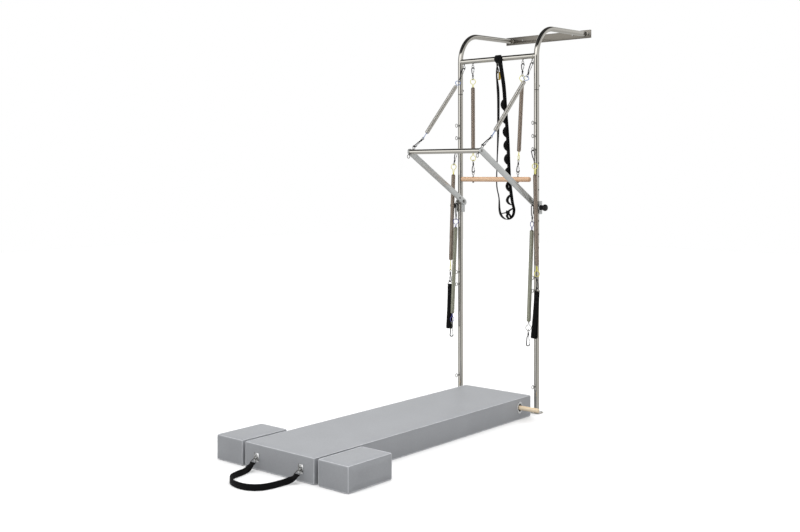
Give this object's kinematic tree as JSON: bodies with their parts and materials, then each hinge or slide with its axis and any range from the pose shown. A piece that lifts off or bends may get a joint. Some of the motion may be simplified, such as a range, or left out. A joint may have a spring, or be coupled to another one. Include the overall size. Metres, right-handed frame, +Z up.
{
  "type": "pilates tower unit",
  "caption": "Wall-mounted steel tube tower with sprung push-through and roll-down bars, hanging springs and straps, beside a T-shaped floor mat.",
  "frame": {"origin": "on the floor, under the middle of the whole part's bounding box", "axes": "+Z up, +Y from the mat's foot end towards the wall behind the tower, +X to the right of a person on the mat who faces the wall"},
  "size_m": [0.9046, 2.7314, 2.353],
  "materials": {
    "polished_steel": "polished",
    "dark_steel": "polished",
    "plated_steel": "bright zinc plate",
    "satin_aluminium": "satin",
    "spring_steel": "oiled wire",
    "black_plastic": "moulded",
    "webbing": "woven",
    "vinyl": "matt upholstery vinyl",
    "maple": "clear satin lacquer",
    "brass": "satin"
  },
  "bodies": {
    "frame": {"left_upright": "polished_steel", "right_upright": "polished_steel", "left_top_bend": "polished_steel", "right_top_bend": "polished_steel", "left_base_plate": "polished_steel", "right_base_plate": "polished_steel", "left_seam_screw": "black_plastic", "right_seam_screw": "black_plastic", "left_carriage": "plated_steel", "right_carriage": "plated_steel", "left_pivot_bolt": "plated_steel", "right_pivot_bolt": "plated_steel", "left_block": "vinyl", "right_block": "vinyl", "left_escutcheon": "plated_steel", "right_escutcheon": "plated_steel", "left_anchor": "plated_steel", "right_anchor": "plated_steel", "crossbar": "polished_steel", "wall_plate": "dark_steel", "mat": "vinyl"},
    "push_bar": {"push_bar": "polished_steel", "left_push_arm": "satin_aluminium", "right_push_arm": "satin_aluminium"},
    "push_upper_hooks": {"left_push_upper_hook": "plated_steel", "right_push_upper_hook": "plated_steel"},
    "push_springs": {"left_push_spring": "spring_steel", "right_push_spring": "spring_steel"},
    "push_lower_hooks": {"left_push_lower_hook": "plated_steel", "right_push_lower_hook": "plated_steel"},
    "roll_upper_hooks": {"left_roll_upper_hook": "plated_steel", "right_roll_upper_hook": "plated_steel", "left_roll_spring": "spring_steel", "right_roll_spring": "spring_steel"},
    "roll_down_bar": {"left_roll_lower_hook": "plated_steel", "right_roll_lower_hook": "plated_steel", "left_roll_eye": "plated_steel", "right_roll_eye": "plated_steel", "roll_down_bar": "maple"},
    "safety_strap": {"safety_strap": "webbing", "safety_clip": "brass"},
    "foot_strap": {"foot_strap": "webbing"},
    "handle_dowel": {"dowel": "maple"},
    "left_leg_upper": {"left_leg_upper_hook": "plated_steel", "left_leg_spring": "spring_steel"},
    "left_leg_lower": {"left_leg_snap": "plated_steel", "left_leg_loop": "webbing"},
    "left_arm_upper": {"left_arm_upper_hook": "plated_steel", "left_arm_spring": "spring_steel"},
    "left_arm_lower": {"left_arm_snap": "plated_steel"},
    "left_pin": {"left_pull_pin": "black_plastic"},
    "right_leg_upper": {"right_leg_upper_hook": "plated_steel", "right_leg_spring": "spring_steel"},
    "right_leg_lower": {"right_leg_snap": "plated_steel", "right_leg_loop": "webbing"},
    "right_arm_upper": {"right_arm_upper_hook": "plated_steel", "right_arm_spring": "spring_steel"},
    "right_arm_lower": {"right_arm_snap": "plated_steel"},
    "right_pin": {"right_pull_pin": "black_plastic"}
  },
  "joints": [
    {"name": "push_bar_swing", "type": "hinge", "parent": "frame", "child": "push_bar", "pos_m": [-0.066, 0.78773, 1.25795], "axis": [1, 0, 0], "range_deg": [0, 60], "stiffness_Nm_per_rad": 12, "springref_deg": -45.84},
    {"name": "push_upper_hook_swing", "type": "hinge", "parent": "frame", "child": "push_upper_hooks", "pos_m": [-0.066, 0.78773, 2.104], "axis": [1, 0, 0], "range_deg": [-0.5, 19.21]},
    {"name": "push_spring_stretch", "type": "slide", "parent": "push_upper_hooks", "child": "push_springs", "axis": [0, -0.7005, -0.7136], "range_m": [-0.005, 0.525], "deforming": ["left_push_spring", "right_push_spring"]},
    {"name": "push_lower_hook_swing", "type": "hinge", "parent": "push_bar", "child": "push_lower_hooks", "pos_m": [-0.066, 0.28228, 1.58909], "axis": [1, 0, 0], "range_deg": [-41.79, 0.5]},
    {"name": "roll_down_swing", "type": "hinge", "parent": "frame", "child": "roll_upper_hooks", "pos_m": [-0.066, 0.78773, 2.104], "axis": [-1, 0, 0], "range_deg": [0, 12]},
    {"name": "roll_down_stretch", "type": "slide", "parent": "roll_upper_hooks", "child": "roll_down_bar", "axis": [0, -0.0359, -0.9994], "range_m": [0, 0.3], "stiffness_N_per_m": 300, "springref_m": -0.06, "deforming": ["left_roll_spring", "right_roll_spring"]},
    {"name": "left_leg_spring_swing", "type": "hinge", "parent": "frame", "child": "left_leg_upper", "pos_m": [-0.3505, 0.74623, 1.57795], "axis": [-1, 0, 0], "range_deg": [0, 60]},
    {"name": "left_leg_spring_stretch", "type": "slide", "parent": "left_leg_upper", "child": "left_leg_lower", "axis": [-0.0303, -0.0121, -0.9995], "range_m": [0, 0.3], "stiffness_N_per_m": 250, "springref_m": -0.06, "deforming": ["left_leg_spring"]},
    {"name": "left_arm_spring_swing", "type": "hinge", "parent": "frame", "child": "left_arm_upper", "pos_m": [-0.3505, 0.74623, 1.24994], "axis": [-1, 0, 0], "range_deg": [0, 60]},
    {"name": "left_arm_spring_stretch", "type": "slide", "parent": "left_arm_upper", "child": "left_arm_lower", "axis": [0, -0.0628, -0.998], "range_m": [0, 0.27], "stiffness_N_per_m": 250, "springref_m": -0.06, "deforming": ["left_arm_spring"]},
    {"name": "left_pin_pull", "type": "slide", "parent": "frame", "child": "left_pin", "axis": [-1, 0, 0], "range_m": [0, 0.012], "stiffness_N_per_m": 800, "springref_m": -0.01},
    {"name": "right_leg_spring_swing", "type": "hinge", "parent": "frame", "child": "right_leg_upper", "pos_m": [0.2185, 0.74623, 1.57795], "axis": [-1, 0, 0], "range_deg": [0, 60]},
    {"name": "right_leg_spring_stretch", "type": "slide", "parent": "right_leg_upper", "child": "right_leg_lower", "axis": [0.0303, -0.0121, -0.9995], "range_m": [0, 0.3], "stiffness_N_per_m": 250, "springref_m": -0.06, "deforming": ["right_leg_spring"]},
    {"name": "right_arm_spring_swing", "type": "hinge", "parent": "frame", "child": "right_arm_upper", "pos_m": [0.2185, 0.74623, 1.24994], "axis": [-1, 0, 0], "range_deg": [0, 60]},
    {"name": "right_arm_spring_stretch", "type": "slide", "parent": "right_arm_upper", "child": "right_arm_lower", "axis": [0, -0.0628, -0.998], "range_m": [0, 0.27], "stiffness_N_per_m": 250, "springref_m": -0.06, "deforming": ["right_arm_spring"]},
    {"name": "right_pin_pull", "type": "slide", "parent": "frame", "child": "right_pin", "axis": [1, 0, 0], "range_m": [0, 0.012], "stiffness_N_per_m": 800, "springref_m": -0.01},
    {"name": "safety_strap_swing", "type": "hinge", "parent": "frame", "child": "safety_strap", "pos_m": [-0.066, 0.78773, 2.14], "axis": [1, 0, 0], "range_deg": [0, 25]},
    {"name": "foot_strap_lift", "type": "hinge", "parent": "frame", "child": "foot_strap", "pos_m": [0, -1.11848, 0.05927], "axis": [-1, 0, 0], "range_deg": [0, 90]},
    {"name": "handle_dowel_slide", "type": "slide", "parent": "frame", "child": "handle_dowel", "axis": [1, 0, 0], "range_m": [0, 0.6]}
  ],
  "couplings": [
    {"joint": "push_upper_hook_swing", "follows": "push_bar_swing", "ratio": 0.31188},
    {"joint": "push_spring_stretch", "follows": "push_bar_swing", "m_per_rad": 0.49659},
    {"joint": "push_lower_hook_swing", "follows": "push_bar_swing", "ratio": -0.68812}
  ]
}
